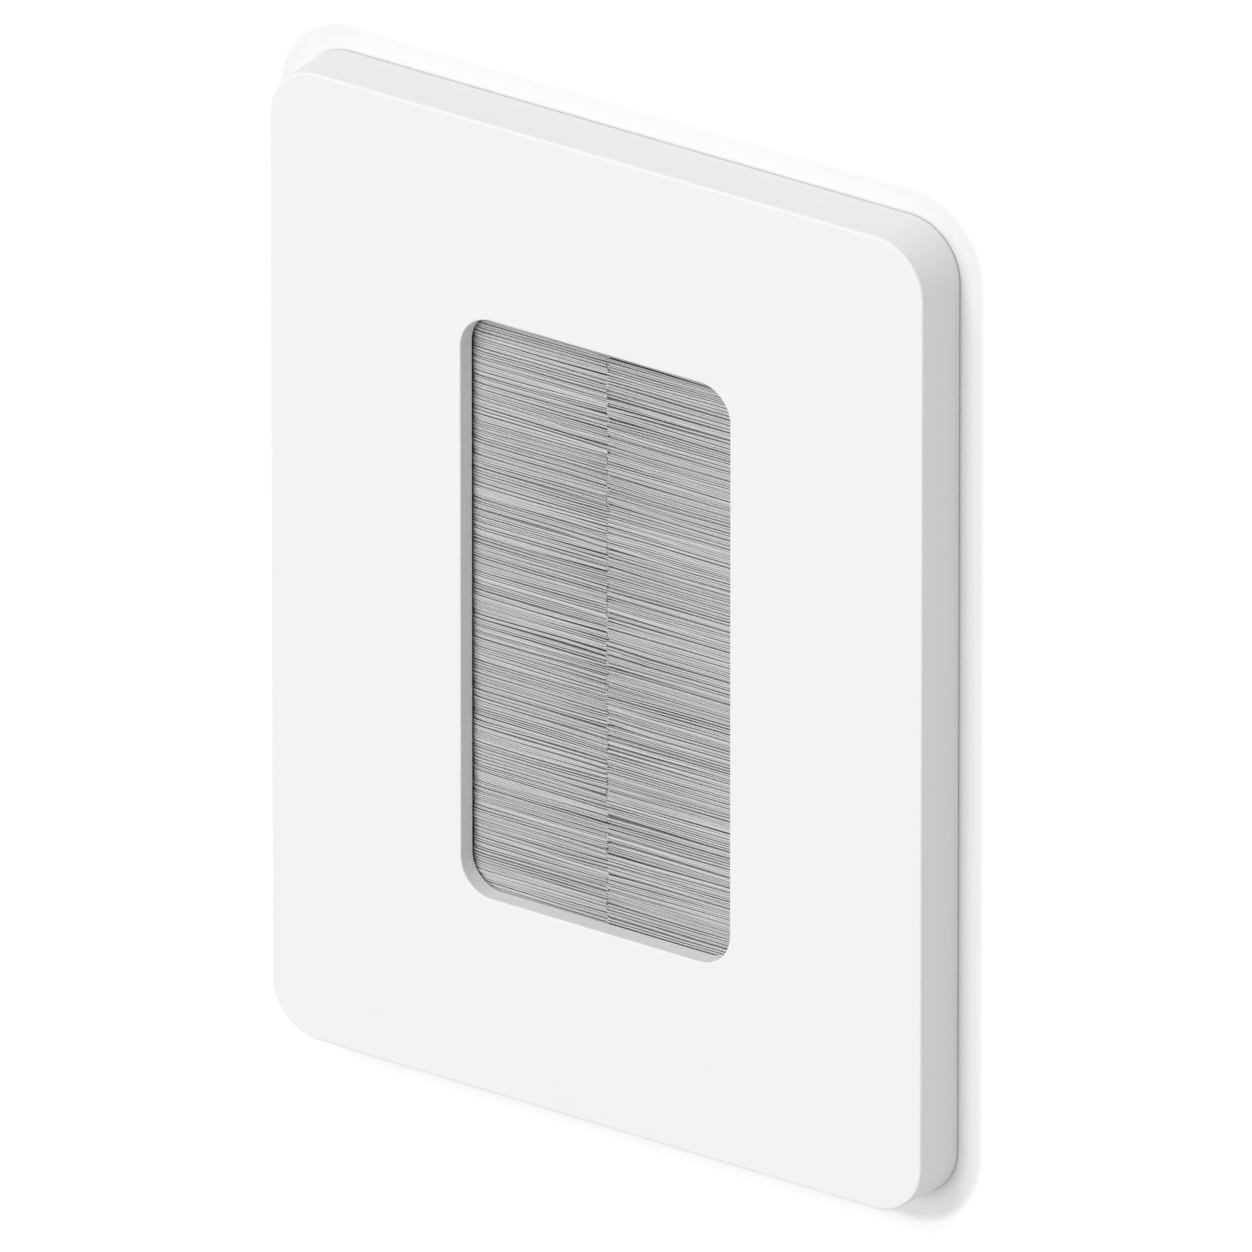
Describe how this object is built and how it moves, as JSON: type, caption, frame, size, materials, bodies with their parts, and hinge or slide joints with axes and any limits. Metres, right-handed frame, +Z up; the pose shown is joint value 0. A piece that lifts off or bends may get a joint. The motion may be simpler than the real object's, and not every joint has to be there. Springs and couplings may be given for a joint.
{
  "type": "cable pass-through wall plate",
  "caption": "Rounded rectangular wall plate with a tall window closed by two rows of grey bristles, which let cables pass through into the wall box.",
  "frame": {"origin": "on the wall plane, midway between the two box screws, which is the middle of the plate", "axes": "+Z up the wall, along the plate's height; +Y into the wall, away from the room; +X to the right of someone who faces the plate"},
  "size_m": [0.0856, 0.0264, 0.1142],
  "materials": {
    "cover_white": "smooth satin moulding",
    "frame_plastic": "plain moulding",
    "bristle_nylon": "bundled nylon filaments",
    "wire_steel": "drawn",
    "channel_steel": "zinc plated",
    "retainer_steel": "zinc plated",
    "screw_steel": "zinc plated"
  },
  "bodies": {
    "root": {"face_cover": "cover_white", "mounting_frame": "frame_plastic", "left_bristles": "bristle_nylon", "right_bristles": "bristle_nylon", "left_core_wire": "wire_steel", "right_core_wire": "wire_steel", "left_brush_channel": "channel_steel", "right_brush_channel": "channel_steel", "left_strip_retainer": "retainer_steel", "right_strip_retainer": "retainer_steel", "retainer_screw_left_1": "screw_steel", "retainer_screw_left_2": "screw_steel", "retainer_screw_left_3": "screw_steel", "retainer_screw_left_4": "screw_steel", "retainer_screw_right_1": "screw_steel", "retainer_screw_right_2": "screw_steel", "retainer_screw_right_3": "screw_steel", "retainer_screw_right_4": "screw_steel", "box_screw_top": "screw_steel", "box_screw_bottom": "screw_steel"}
  },
  "joints": []
}
